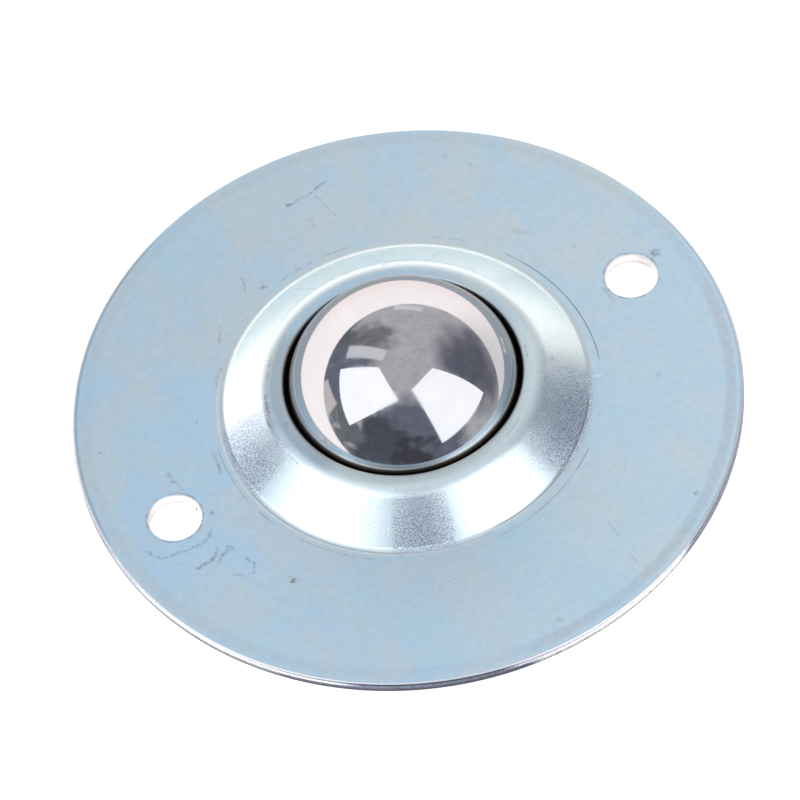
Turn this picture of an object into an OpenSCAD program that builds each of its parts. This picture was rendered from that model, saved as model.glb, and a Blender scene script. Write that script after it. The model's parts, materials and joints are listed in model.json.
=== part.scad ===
// Ball transfer unit with a two-hole round flange.
// The main ball rolls in any direction on a bed of small support balls, which run in a
// hardened cup. A drawn lower housing carries the cup. A drawn cover with a raised dome
// holds the ball in, and both flanges share the two screw holes.
// Sizes are in millimetres. The origin is where the ball's vertical axis meets the mounting
// face, under the lower housing's flange. +Z points out of the unit through the ball, and the
// screw holes lie on the X axis.

/* [Balls] */
// Diameter of the main ball
main_ball_d = 25.4; // [22:0.1:28]
// Diameter of one support ball
support_ball_d = 3.175; // [2.5:0.025:3.5]
// Depth of the main ball's centre below the cover's flange top
ball_centre_drop = 0.4; // [0.1:0.05:0.7]
// Running gap between a ball and each surface that it rolls on
rolling_gap = 0.05; // [0.02:0.01:0.08]
// Smallest space between neighbouring support balls
support_ball_space = 0.1; // [0.05:0.05:0.3]

/* [Flange cover] */
// Diameter of the round flange
flange_d = 70; // [66:0.5:80]
// Thickness of the cover's sheet
cover_t = 1.2; // [0.8:0.1:1.6]
// Radius of the flange's top edge
rim_round = 0.25; // [0.1:0.05:0.5]
// Height of the dome's flat top above the flange
dome_h = 3.85; // [3.2:0.05:4.6]
// Step from the lower housing's wall out to the foot of the dome
dome_step = 0.7; // [0.6:0.05:2]
// Radius of the hollow bend at the dome's foot
foot_round = 1.3; // [0.8:0.1:2.4]
// Radius of the bend at the dome's shoulder
shoulder_round = 3; // [1.4:0.1:3.2]
// Width of the flat ring between the lip and the shoulder
lip_ring_w = 1.9; // [1.6:0.05:2.6]
// Radius of the lip's upper edge
lip_round = 0.4; // [0.1:0.05:0.4]
// Gap between the lip's sheared edge and the main ball
lip_gap = 0.2; // [0.12:0.02:0.4]
// Height of the smooth part of the lip's sheared edge
lip_land = 0.2; // [0.1:0.05:0.35]
// Widening of the lip's edge towards its underside
lip_break = 0.3; // [0.1:0.05:0.4]

/* [Screw holes] */
// Diameter of a screw hole
hole_d = 5.5; // [4.5:0.1:6.6]
// Diameter of the circle through the hole centres
hole_circle_d = 55; // [52:0.5:58]
// Width of the rounding at a hole's upper edge
hole_edge = 0.15; // [0.05:0.05:0.3]

/* [Lower housing] */
// Thickness of the lower housing's sheet
housing_t = 1; // [0.8:0.1:1.4]
// Diameter of the lower housing's flange
housing_flange_d = 66.6; // [64:0.2:70]
// Radius of the bend between the cup's wall and its flange
wall_bend = 1; // [0.5:0.1:1.6]
// Radius inside the bottom corner of the cup
corner_round = 8; // [5:0.5:10]

/* [Seat cup] */
// Wall thickness of the hardened seat cup
seat_t = 1.5; // [1.2:0.1:1.8]
// Gap between the seat cup and the lower housing's wall
seat_fit = 0.1; // [0.05:0.05:0.3]
// Radius of the flat foot under the seat cup
seat_foot_r = 3.5; // [2:0.5:5]
// Depth of the seat cup's rim below the main ball's centre
seat_rim_drop = 0.6; // [0.4:0.1:1.2]

/* [Retainer and wiper] */
// Thickness of the ring that keeps the support balls in
retainer_t = 0.8; // [0.5:0.1:1]
// Gap between the retainer ring and the main ball
retainer_gap = 0.3; // [0.2:0.05:0.5]
// Gap between the retainer ring's outer edge and the dome
retainer_fit = 0.2; // [0.1:0.05:0.3]
// Gap between the felt wiper ring and the main ball
wiper_gap = 0.05; // [0.03:0.01:0.1]
// Gap between the wiper ring's side and the dome
wiper_fit = 0.3; // [0.1:0.05:0.5]

/* [Hidden] */
$fn = 96;

// Steps in one rounded corner of an outline
ARC_STEPS = 12;
// Overlap that lets a cutter pass right through a face
CUT = 1;
// Angle that each row of support balls is turned by against the row below it
ROW_TURN_ANGLE = 40;
// Number of rows of support balls that have a node each, counted from the pole
SINGLE_ROW_COUNT = 4;

// Heights, from the mounting face up
cover_under_z = housing_t;
cover_top_z = cover_under_z + cover_t;
lip_top_z = cover_top_z + dome_h;
lip_under_z = lip_top_z - cover_t;
ball_z = cover_top_z - ball_centre_drop;
seat_rim_z = ball_z - seat_rim_drop;
retainer_top_z = seat_rim_z + retainer_t;

// The ball bed, outwards from the main ball
ball_r = main_ball_d / 2;
track_r = ball_r + rolling_gap + support_ball_d / 2;
race_r = track_r + support_ball_d / 2 + rolling_gap;
seat_r = race_r + seat_t;
seat_foot_z = ball_z - sqrt(pow(seat_r, 2) - pow(seat_foot_r, 2));
housing_in_r = seat_r + seat_fit;
housing_r = housing_in_r + housing_t;
housing_under_z = seat_foot_z - housing_t;

// The dome. The lip clears the ball by its gap where the smooth part of its edge ends.
lip_land_z = lip_top_z - lip_round - lip_land;
lip_r = sqrt(pow(ball_r + lip_gap, 2) - pow(lip_land_z - ball_z, 2));
shoulder_r = lip_r + lip_ring_w;
foot_r = housing_r + dome_step;
dome_angle = atan(dome_h / (foot_r - shoulder_r));
bend_shift = cover_t * tan(dome_angle / 2);

// The support balls fill the cup from the pole up to the retainer ring
top_row_drop = seat_rim_drop + rolling_gap + support_ball_d / 2;
top_row_angle = acos(top_row_drop / track_r);
ball_spacing = support_ball_d + support_ball_space;
row_count = floor(top_row_angle / (2 * asin(ball_spacing / 2 / track_r)));
row_angle = top_row_angle / row_count;

// Radius of the dome's inner side at a height
function dome_in_r(z) = foot_r - bend_shift - (z - cover_under_z) / tan(dome_angle);

function unit(v) = v / norm(v);

// Signed turn from angle a to angle b, between -180 and 180 degrees
function turn(a, b) = let (d = b - a) d > 180 ? d - 360 : d < -180 ? d + 360 : d;

// Points of the arc of radius r that rounds corner b between its neighbours a and c
function corner_arc(a, b, c, r) =
    let (
        u = unit(a - b),
        v = unit(c - b),
        half = acos(u * v) / 2,
        centre = b + unit(u + v) * r / sin(half),
        from = b + u * r / tan(half) - centre,
        to = b + v * r / tan(half) - centre,
        start = atan2(from[1], from[0]),
        sweep = turn(start, atan2(to[1], to[0]))
    )
    [for (i = [0:ARC_STEPS])
        centre + r * [cos(start + sweep * i / ARC_STEPS), sin(start + sweep * i / ARC_STEPS)]];

function point(corner) = [corner[0], corner[1]];

// A closed outline from corners [radius, height, rounding]
function rounded(corners) =
    let (n = len(corners))
    [for (i = [0:n - 1])
        let (corner = corners[i])
        each corner[2] == 0
            ? [point(corner)]
            : corner_arc(
                point(corners[(i + n - 1) % n]), point(corner), point(corners[(i + 1) % n]), corner[2]
            )];

// Number of support balls that fit side by side in a row at an angle from the pole
function balls_in_row(angle) = floor(180 / asin(ball_spacing / 2 / (track_r * sin(angle))));

// One screw hole with a rounded upper edge, through a sheet between two heights
module screw_holes(under_z, top_z) {
    for (side = [-1, 1])
        translate([side * hole_circle_d / 2, 0, 0]) {
            translate([0, 0, under_z - CUT])
                cylinder(d = hole_d, h = top_z - under_z + 2 * CUT);
            translate([0, 0, top_z - hole_edge])
                cylinder(d1 = hole_d, d2 = hole_d + 2 * hole_edge, h = hole_edge);
        }
}

// Drawn top cover: flat flange, sloping dome and a sheared lip around the ball
module flange_cover() {
    rim_r = flange_d / 2;
    color([0.73, 0.79, 0.85])
        difference() {
            rotate_extrude()
                polygon(rounded([
                    [lip_r, lip_top_z, lip_round],
                    [shoulder_r, lip_top_z, shoulder_round],
                    [foot_r, cover_top_z, foot_round],
                    [rim_r, cover_top_z, rim_round],
                    [rim_r, cover_under_z, 0],
                    [foot_r - bend_shift, cover_under_z, foot_round + cover_t],
                    [shoulder_r - bend_shift, lip_under_z, max(shoulder_round - cover_t, rim_round / 2)],
                    [lip_r + lip_break, lip_under_z, 0],
                    [lip_r, lip_land_z, 0]
                ]));
            screw_holes(cover_under_z, cover_top_z);
        }
}

// Drawn lower housing: a flat-bottomed cup whose flange carries the cover
module lower_housing() {
    rim_r = housing_flange_d / 2;
    color([0.68, 0.73, 0.78])
        difference() {
            rotate_extrude()
                polygon(rounded([
                    [0, seat_foot_z, 0],
                    [housing_in_r, seat_foot_z, corner_round],
                    [housing_in_r, housing_t, wall_bend],
                    [rim_r, housing_t, rim_round],
                    [rim_r, 0, 0],
                    [housing_r, 0, wall_bend + housing_t],
                    [housing_r, housing_under_z, corner_round + housing_t],
                    [0, housing_under_z, 0]
                ]));
            screw_holes(0, housing_t);
        }
}

// Hardened cup that the support balls run in, with a small flat foot
module seat_cup() {
    color([0.47, 0.48, 0.50])
        difference() {
            intersection() {
                translate([0, 0, ball_z])
                    sphere(r = seat_r);
                translate([0, 0, seat_foot_z])
                    cylinder(r = seat_r + CUT, h = seat_rim_z - seat_foot_z);
            }
            translate([0, 0, ball_z])
                sphere(r = race_r);
        }
}

// Flat steel ring on the seat cup's rim that keeps the support balls in
module ball_retainer() {
    color([0.60, 0.62, 0.64])
        translate([0, 0, seat_rim_z])
            difference() {
                cylinder(r = dome_in_r(retainer_top_z) - retainer_fit, h = retainer_t);
                translate([0, 0, -CUT])
                    cylinder(r = ball_r + retainer_gap, h = retainer_t + 2 * CUT);
            }
}

// Felt ring under the lip that wipes the ball and keeps dirt out
module wiper_ring() {
    color([0.09, 0.09, 0.10])
        difference() {
            translate([0, 0, retainer_top_z])
                cylinder(
                    r1 = dome_in_r(retainer_top_z) - wiper_fit,
                    r2 = dome_in_r(lip_under_z) - wiper_fit,
                    h = lip_under_z - retainer_top_z
                );
            translate([0, 0, ball_z])
                sphere(r = ball_r + wiper_gap);
        }
}

// The load-carrying ball
module main_ball() {
    color([0.86, 0.87, 0.89])
        translate([0, 0, ball_z])
            sphere(r = ball_r);
}

// One support ball, at an angle from the pole and a turn about the vertical axis
module support_ball(angle, azimuth) {
    color([0.78, 0.79, 0.81])
        translate([0, 0, ball_z])
            rotate([0, 180 - angle, azimuth])
                translate([0, 0, track_r])
                    sphere(d = support_ball_d);
}

// The row of support balls with this number, counted from the pole
module ball_row(row) {
    count = balls_in_row(row * row_angle);
    for (i = [0:count - 1])
        support_ball(row * row_angle, row * ROW_TURN_ANGLE + i * 360 / count);
}

flange_cover();
lower_housing();
seat_cup();
ball_retainer();
wiper_ring();
main_ball();
support_ball(0, 0);  // pole_ball
ball_row(1);  // ball_row_1
ball_row(2);  // ball_row_2
ball_row(3);  // ball_row_3
ball_row(4);  // ball_row_4
for (row = [SINGLE_ROW_COUNT + 1:row_count]) ball_row(row);  // upper_ball_rows
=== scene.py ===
"""Looks of a round-flanged ball transfer unit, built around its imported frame.

The unit is a drawn top cover with a raised dome, a drawn lower housing that the cover is welded to, and
a polished ball that stands out of the dome on a bed of small support balls. Sizes are in metres in the
frame's own axes: the mounting face is at height zero, the ball's axis is +Z and the two screw holes lie
on the X axis.
"""

import json
import logging
import math
from dataclasses import dataclass
from enum import Enum
from functools import reduce
from typing import Optional, Union

import bmesh
import bpy
from mathutils import Matrix, Vector


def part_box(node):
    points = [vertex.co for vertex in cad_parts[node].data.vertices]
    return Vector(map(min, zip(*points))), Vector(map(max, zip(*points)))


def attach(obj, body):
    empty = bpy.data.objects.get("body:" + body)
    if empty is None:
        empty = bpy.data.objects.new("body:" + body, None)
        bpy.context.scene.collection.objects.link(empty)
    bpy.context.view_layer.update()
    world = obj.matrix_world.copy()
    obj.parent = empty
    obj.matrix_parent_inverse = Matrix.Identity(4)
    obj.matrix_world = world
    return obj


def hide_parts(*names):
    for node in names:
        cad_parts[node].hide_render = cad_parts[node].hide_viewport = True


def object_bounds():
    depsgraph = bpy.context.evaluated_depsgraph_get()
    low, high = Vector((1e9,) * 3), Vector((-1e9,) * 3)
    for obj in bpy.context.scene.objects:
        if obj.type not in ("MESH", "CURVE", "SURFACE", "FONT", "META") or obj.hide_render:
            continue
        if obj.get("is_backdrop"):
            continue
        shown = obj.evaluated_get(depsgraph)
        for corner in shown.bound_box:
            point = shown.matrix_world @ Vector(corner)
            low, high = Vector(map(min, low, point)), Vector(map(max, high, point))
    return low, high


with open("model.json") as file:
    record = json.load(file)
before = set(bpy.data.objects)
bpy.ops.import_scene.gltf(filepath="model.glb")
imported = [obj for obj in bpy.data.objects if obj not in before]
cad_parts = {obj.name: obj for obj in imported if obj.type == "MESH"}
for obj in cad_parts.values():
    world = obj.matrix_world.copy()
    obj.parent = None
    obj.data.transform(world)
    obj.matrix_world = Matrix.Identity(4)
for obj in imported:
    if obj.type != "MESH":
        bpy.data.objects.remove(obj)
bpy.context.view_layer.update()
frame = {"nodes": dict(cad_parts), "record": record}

LOG = logging.getLogger("ball_transfer_unit")
MM = 0.001
SHEARED_ROUND = 0.05 * MM  # What is left sharp at a sheet's sheared lower edge
TOUCH = 2e-6  # Points nearer than this lie on each other
MERGE = 1e-7  # Points nearer than this become one

Socket = bpy.types.NodeSocket
Number = Union[float, Socket]
Triple = tuple[float, float, float]
Colour = Triple
Sector = tuple[float, float]  # First and last direction from the axis, in degrees from +X towards +Y


# ---------------------------------------------------------------------------------------------------
# Node graphs
# ---------------------------------------------------------------------------------------------------


class Graph:
    """Builds one node tree from short calls, most of which return an output socket."""

    def __init__(self, tree: bpy.types.NodeTree) -> None:
        """Starts with an empty tree."""
        self.tree = tree
        tree.nodes.clear()

    def node(self, kind: str, *values: object, **settings: object) -> bpy.types.Node:
        """Adds a node.

        Args:
            kind: The node's type, without the words ShaderNode.
            values: What feeds its first inputs, in order.
            settings: Properties to set on it.

        Returns:
            The new node.
        """
        made = self.tree.nodes.new("ShaderNode" + kind)
        for name, value in settings.items():
            setattr(made, name, value)
        for socket, value in zip(made.inputs, values):
            self.feed(socket, value)
        return made

    def feed(self, socket: Socket, value: object) -> None:
        """Links a socket to another, or sets its constant.

        Args:
            socket: The input to feed.
            value: An output socket, a number, a colour or a vector.
        """
        if isinstance(value, bpy.types.NodeSocket):
            self.tree.links.new(value, socket)
        elif socket.type == "RGBA":
            socket.default_value = (*value, 1.0)
        else:
            socket.default_value = value

    def math(self, operation: str, *values: Number) -> Socket:
        """Adds a Math node and gives its result."""
        return self.node("Math", *values, operation=operation).outputs[0]

    def product(self, *values: Number) -> Socket:
        """Multiplies numbers."""
        return reduce(lambda first, second: self.math("MULTIPLY", first, second), values)

    def largest(self, *values: Number) -> Socket:
        """Gives the largest of some numbers."""
        return reduce(lambda first, second: self.math("MAXIMUM", first, second), values)

    def vector(self, operation: str, *values: object) -> Socket:
        """Adds a Vector Math node that gives a vector."""
        return self.node("VectorMath", *values, operation=operation).outputs["Vector"]

    def measure(self, operation: str, *values: object) -> Socket:
        """Adds a Vector Math node that gives a number, such as a length."""
        return self.node("VectorMath", *values, operation=operation).outputs["Value"]

    def scaled(self, vector: object, factor: Number) -> Socket:
        """Makes a vector longer or shorter.

        Args:
            vector: The vector.
            factor: By how much.

        Returns:
            The scaled vector.
        """
        made = self.node("VectorMath", vector, operation="SCALE")
        self.feed(made.inputs["Scale"], factor)
        return made.outputs["Vector"]

    def combine(self, x: Number, y: Number, z: Number) -> Socket:
        """Makes a vector of three numbers."""
        return self.node("CombineXYZ", x, y, z).outputs[0]

    def ramp(self, value: Number, low: float, high: float, start: float = 0.0, end: float = 1.0) -> Socket:
        """Eases from start to end while a value goes from low to high, and stays there beyond them."""
        return self.node("MapRange", value, low, high, start, end, interpolation_type="SMOOTHSTEP",
                         clamp=False).outputs[0]

    def band(self, value: Number, centre: float, half: float, soft: float) -> Socket:
        """Gives 1 within half of a centre, and 0 beyond half and soft together."""
        away = self.math("ABSOLUTE", self.math("SUBTRACT", value, centre))
        return self.ramp(away, half, half + soft, 1.0, 0.0)

    def stirred(self, vector: Socket, scale: float, reach: float) -> Socket:
        """Shifts coordinates about at random, so that an outline wanders.

        Args:
            vector: The coordinates.
            scale: Swirls per unit of length.
            reach: How far they shift.

        Returns:
            The new coordinates.
        """
        swirl = self.node("TexNoise", noise_dimensions="3D")
        self.feed(swirl.inputs["Vector"], vector)
        self.feed(swirl.inputs["Scale"], scale)
        shift = self.vector("SUBTRACT", swirl.outputs["Color"], (0.5, 0.5, 0.5))
        return self.vector("ADD", vector, self.scaled(shift, reach))

    def noise(self, vector: Socket, scale: float, detail: float = 2.0, roughness: float = 0.5,
              distortion: float = 0.0) -> Socket:
        """Adds a Noise texture.

        Args:
            vector: Where it is read.
            scale: Features per metre.
            detail: Octaves of finer noise.
            roughness: Weight of the finer octaves.
            distortion: How far the pattern is stirred.

        Returns:
            A number around 0.5.
        """
        made = self.node("TexNoise", noise_dimensions="3D")
        self.feed(made.inputs["Vector"], vector)
        self.feed(made.inputs["Scale"], scale)
        self.feed(made.inputs["Detail"], detail)
        self.feed(made.inputs["Roughness"], roughness)
        self.feed(made.inputs["Distortion"], distortion)
        return made.outputs[0]

    def mix(self, factor: Number, first: object, second: object, blend: str = "MIX") -> Socket:
        """Mixes two colours.

        Args:
            factor: The share of the second.
            first: A colour or a colour socket.
            second: A colour or a colour socket.
            blend: The blend type.

        Returns:
            The mixed colour.
        """
        made = self.node("Mix", data_type="RGBA", blend_type=blend, clamp_factor=True)
        self.feed(made.inputs[0], factor)
        self.feed(made.inputs[6], first)
        self.feed(made.inputs[7], second)
        return made.outputs[2]

    def shade(self, colour: object, factor: Number) -> Socket:
        """Multiplies a colour by a number."""
        return self.mix(1.0, colour, self.combine(factor, factor, factor), "MULTIPLY")

    def stretch(self, vector: Socket, scale: Triple, turn: float = 0.0) -> Socket:
        """Scales and turns a pattern's coordinates.

        Args:
            vector: The coordinates.
            scale: A factor for each axis.
            turn: A turn about Z, in radians.

        Returns:
            The new coordinates.
        """
        made = self.node("Mapping", vector, vector_type="POINT")
        self.feed(made.inputs["Rotation"], (0.0, 0.0, turn))
        self.feed(made.inputs["Scale"], scale)
        return made.outputs[0]

    def bump(self, height: Socket, distance: float, normal: Optional[Socket] = None) -> Socket:
        """Turns a height into a surface normal.

        Args:
            height: The height, in units of distance.
            distance: Metres for a height of 1.
            normal: A normal to add to.

        Returns:
            The bumped normal.
        """
        made = self.node("Bump")
        self.feed(made.inputs["Strength"], 1.0)
        self.feed(made.inputs["Distance"], distance)
        self.feed(made.inputs["Height"], height)
        if normal is not None:
            self.feed(made.inputs["Normal"], normal)
        return made.outputs[0]


def polar(azimuth: float, elevation: float) -> Vector:
    """Direction in the studio, where azimuth 0 lies straight beyond the object and 90 to its right.

    Args:
        azimuth: Degrees round the vertical.
        elevation: Degrees above the horizon.

    Returns:
        The unit vector.
    """
    turn, rise = math.radians(azimuth), math.radians(elevation)
    return Vector((math.sin(turn) * math.cos(rise), math.cos(turn) * math.cos(rise), math.sin(rise)))


# ---------------------------------------------------------------------------------------------------
# Finishes
# ---------------------------------------------------------------------------------------------------


class Surface:
    """One material while it is being built: its graph, its shader and the coordinates it reads.

    These are its place in metres, that place's x, y and z, its distance from the unit's axis and the
    direction in which it lies from the axis.
    """

    def __init__(self, name: str) -> None:
        """Makes a material with one Principled shader.

        Args:
            name: The material's name.
        """
        self.material = bpy.data.materials.new(name)
        self.material.use_nodes = True
        self.graph = Graph(self.material.node_tree)
        self.shader = self.graph.node("BsdfPrincipled")
        self.graph.node("OutputMaterial", self.shader.outputs[0])
        self.place = self.graph.node("TexCoord").outputs["Object"]
        self.x, self.y, self.z = self.graph.node("SeparateXYZ", self.place).outputs
        outwards = self.graph.combine(self.x, self.y, 0.0)
        self.radius = self.graph.measure("LENGTH", outwards)
        self.heading = self.graph.vector("NORMALIZE", outwards)

    def facing(self, sector: Sector, soft: float = 0.15) -> Socket:
        """Where the surface lies in a sector round the axis.

        Args:
            sector: The sector.
            soft: The share of its half width over which it fades, inside and outside.

        Returns:
            1 in the sector and 0 outside.
        """
        start, end = sector
        middle, half = math.radians((start + end) / 2), math.radians((end - start) / 2)
        towards = self.graph.measure("DOT_PRODUCT", self.heading, (math.cos(middle), math.sin(middle), 0.0))
        return self.graph.ramp(towards, math.cos(half * (1 + soft)), math.cos(half * (1 - soft)))

    def set(self, **inputs: object) -> None:
        """Feeds the shader's inputs.

        Args:
            inputs: Values by input name, with _ for each space.
        """
        for name, value in inputs.items():
            self.graph.feed(self.shader.inputs[name.replace("_", " ")], value)

    def from_hole(self, reach: float) -> Socket:
        """Distance from the axis of the nearer screw hole, where reach is how far out the holes lie."""
        aside = self.graph.math("SUBTRACT", self.graph.math("ABSOLUTE", self.x), reach)
        return self.graph.measure("LENGTH", self.graph.combine(aside, self.y, 0.0))


class MarkTone(Enum):
    """Whether a handling mark is darker or brighter than the plate."""

    DARK = "dark"
    BRIGHT = "bright"


@dataclass(frozen=True)
class Stroke:
    """One straight piece of a handling mark on the plate, in millimetres.

    Args:
        start: Where it starts, as X and Y.
        end: Where it ends.
        width: Its half width.
        depth: How strongly it shows, from 0 to 1.
        tone: Darker or brighter than the plate.
    """

    start: tuple[float, float]
    end: tuple[float, float]
    width: float = 0.15
    depth: float = 0.5
    tone: MarkTone = MarkTone.DARK


def dot(x: float, y: float, size: float = 0.2, depth: float = 0.8, tone: MarkTone = MarkTone.DARK) -> Stroke:
    """A round speck at x and y, of radius size in millimetres, as a very short stroke."""
    return Stroke((x, y), (x + size / 2, y), size, depth, tone)


@dataclass(frozen=True)
class Arc:
    """A line round the axis that a press tool or the running ball's guard left, or a painted highlight along
    a bend.

    Args:
        radius: Its radius, in millimetres.
        start: Where it starts, in degrees from +X towards +Y.
        end: Where it ends.
        width: Its half width, in millimetres.
        depth: How strongly it shows, from 0 to 1.
        whole: The share of it that is unbroken, from 0 to 1.
        tone: Darker or brighter than the plate.
    """

    radius: float
    start: float
    end: float
    width: float = 0.05
    depth: float = 0.5
    whole: float = 0.5
    tone: MarkTone = MarkTone.DARK


PRESS_LINES_AND_HIGHLIGHT: tuple[Arc, ...] = (
    # Where the blank holder bit into the flange, just outside the dome's foot
    Arc(20.45, -20, 24, 0.05, 0.85, 0.9),
    Arc(20.45, 24, 29, 0.05, 0.4, 0.6),
    Arc(20.5, 42, 58, 0.05, 0.3, 0.4),
    Arc(20.45, 73, 83, 0.05, 0.35, 0.5),
    Arc(20.45, 83, 100, 0.06, 0.5, 0.6),
    Arc(20.3, 165, 197, 0.06, 0.35, 0.5),
    Arc(20.3, 204, 231, 0.05, 0.35, 0.5),
    Arc(20.35, 266, 279, 0.045, 0.3, 0.5),
    Arc(20.33, 279, 297, 0.045, 0.45, 0.8),
    Arc(20.35, 299, 307, 0.05, 0.6, 0.8),
    Arc(20.4, 316, 325, 0.05, 0.3, 0.5),
    # The crease of the dome's foot: a painted highlight along its near side, beside thin dark lines
    Arc(19.7, 140, 262, 0.14, 0.55, 0.95, MarkTone.BRIGHT),
    Arc(19.5, 184, 242, 0.05, 0.55, 0.9),
    Arc(19.55, 242, 268, 0.05, 0.4, 0.9),
    Arc(19.2, 268, 298, 0.06, 0.65, 0.9),
    Arc(19.0, 292, 325, 0.06, 0.6, 0.75),
    # The edge of the rim
    Arc(34.6, 112, 177, 0.16, 0.3, 0.9),
    Arc(34.78, 297, 369, 0.14, 0.32, 0.95),
    # Rubbed dashes round the shoulder and on the ring inside it
    Arc(14.05, 138, 156, 0.1, 0.4, 0.35),
    Arc(14.4, 153, 171, 0.12, 0.5, 0.4),
    Arc(14.8, 167, 194, 0.1, 0.5, 0.4),
    Arc(13.5, 292, 307, 0.07, 0.3, 0.4),
    Arc(12.98, 332, 343, 0.07, 0.35, 0.45),
)

HANDLING_MARKS: tuple[Stroke, ...] = (
    # A curved scratch beyond the dome, with a dark blob where it starts
    dot(1.8, 28.4, 0.28, 0.75),
    Stroke((1.8, 28.4), (4.4, 28.5), 0.12, 0.4),
    Stroke((4.4, 28.5), (6.9, 29.1), 0.13, 0.5),
    Stroke((4.9, 28.0), (5.4, 24.4), 0.12, 0.2),
    Stroke((2.9, 25.4), (2.6, 24.2), 0.14, 0.22),
    Stroke((-7.0, 23.0), (-7.5, 21.2), 0.13, 0.3),
    Stroke((-12.1, 18.4), (-13.0, 16.9), 0.2, 0.35),
    Stroke((-14.6, 13.6), (-16.0, 12.2), 0.26, 0.3),
    dot(-5.7, 20.4, 0.26, 0.8),
    dot(19.3, 24.9, 0.3, 0.22),
    dot(20.8, 22.2, 0.25, 0.2),
    # Round the left hole
    Stroke((-25.4, 5.1), (-25.5, 3.9), 0.2, 0.45),
    Stroke((-25.4, 4.3), (-25.2, 2.5), 0.12, 0.45),
    Stroke((-26.0, 5.0), (-25.4, 4.4), 0.12, 0.3),
    dot(-24.1, -1.6, 0.18, 0.6),
    Stroke((-31.9, -2.1), (-31.2, -3.6), 0.16, 0.4),
    Stroke((-31.2, -3.6), (-28.6, -4.2), 0.16, 0.45),
    Stroke((-28.6, -4.2), (-26.2, -4.3), 0.15, 0.45),
    Stroke((-26.2, -4.3), (-24.9, -3.4), 0.16, 0.4),
    Stroke((-28.4, -6.8), (-26.6, -6.6), 0.22, 0.6),
    Stroke((-26.6, -6.6), (-25.7, -5.9), 0.2, 0.5),
    Stroke((-26.4, -7.2), (-24.4, -6.2), 0.2, 0.45),
    Stroke((-24.7, -6.1), (-24.3, -6.7), 0.2, 0.5),
    Stroke((-23.9, -8.2), (-23.3, -9.4), 0.14, 0.45),
    Stroke((-23.3, -9.4), (-23.9, -10.3), 0.15, 0.4),
    Stroke((-25.8, -9.4), (-24.9, -10.1), 0.14, 0.25),
    dot(-21.1, -13.4, 0.26, 0.95),
    Stroke((-21.3, -12.6), (-20.8, -12.9), 0.12, 0.25),
    dot(-30.3, 11.3, 0.16, 0.7),
    dot(-20.0, 9.2, 0.16, 0.7),
    # Towards the near rim
    dot(-7.2, -22.2, 0.15, 0.7),
    dot(-0.9, -32.2, 0.22, 0.85),
    Stroke((9.3, -24.7), (9.4, -27.0), 0.1, 0.2),
    Stroke((9.2, -29.4), (9.4, -30.6), 0.12, 0.22),
    dot(18.5, -26.9, 0.24, 1.0),
    dot(23.0, -12.4, 0.35, 0.16),
    # Round the right hole
    dot(31.0, 1.1, 0.42, 0.75),
    Stroke((30.5, 0.6), (31.1, 1.3), 0.22, 0.55),
    Stroke((24.2, 0.2), (24.2, -1.6), 0.2, 0.25),
    dot(24.4, 6.7, 0.22, 0.3),
    Stroke((20.3, 12.0), (21.3, 11.0), 0.28, 0.2),
    # On the dome and just outside its foot
    Stroke((-1.9, 14.9), (-2.4, 15.9), 0.1, 0.35),
    Stroke((-2.4, 15.9), (-3.1, 17.3), 0.12, 0.3),
    Stroke((10.6, 12.9), (11.2, 12.4), 0.14, 0.35),
    Stroke((-20.4, 4.7), (-20.8, 2.3), 0.2, 0.4),
    dot(14.0, -6.2, 0.22, 0.45),
    dot(14.5, -6.5, 0.16, 0.4),
    dot(5.4, 13.4, 0.2, 0.5),
    dot(-13.25, 1.2, 0.2, 0.4),
    dot(-11.7, -9.5, 0.3, 0.15),
    # Two nicks down to bare metal
    Stroke((17.6, -8.85), (18.2, -9.15), 0.13, 0.75, MarkTone.BRIGHT),
    dot(-28.0, 9.0, 0.12, 0.4, MarkTone.BRIGHT),
)


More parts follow.
